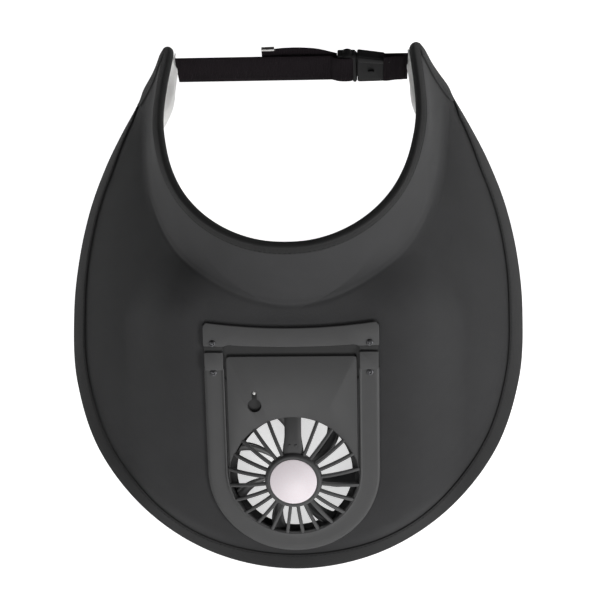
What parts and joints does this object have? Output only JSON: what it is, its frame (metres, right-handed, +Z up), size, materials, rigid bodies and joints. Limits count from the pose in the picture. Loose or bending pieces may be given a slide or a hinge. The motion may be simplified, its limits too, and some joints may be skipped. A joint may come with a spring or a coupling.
{
  "type": "fan hat",
  "caption": "Open-top wide-brim cloth sun visor with a ventilating fan module set into the front of its brim and a buckled strap at the back.",
  "frame": {"origin": "bottom centre of the bounding box, on the floor that the brim's edge rests on", "axes": "-Y towards the front of the brim, +X towards the wearer's left, +Z up"},
  "size_m": [0.3054, 0.336, 0.1234],
  "materials": {
    "cloth": "black woven cloth with a soft nap",
    "tape": "ribbed black binding tape",
    "lining": "white brushed lining",
    "webbing": "black woven webbing",
    "plastic": "fine-textured dark grey plastic",
    "buckle": "satin black plastic",
    "screw": "blackened steel",
    "blade": "smooth black plastic",
    "metal": "plain bright steel",
    "label": "bare printed film",
    "lamp": "clear pale lens"
  },
  "bodies": {
    "visor": {"visor_shell": "cloth", "brim_binding": "tape", "crown_binding": "tape", "lining": "lining", "strap_left": "webbing", "strap_right": "webbing", "strap_tail": "webbing", "tail_tip": "metal", "buckle_slider": "buckle", "buckle_body": "buckle", "top_plate": "plastic", "fan_frame": "plastic", "fan_housing": "plastic", "indicator_lamp": "lamp", "screw_plate_left": "screw", "screw_plate_right": "screw", "screw_frame_left": "screw", "screw_frame_right": "screw", "fan_grille": "plastic", "hub_label": "label"},
    "rotor": {"fan_rotor": "blade"}
  },
  "joints": [
    {"name": "fan_spin", "type": "hinge", "parent": "visor", "child": "rotor", "pos_m": [0, -0.10891, 0.03052], "axis": [0, -0.4369, 0.8995], "continuous": true}
  ]
}
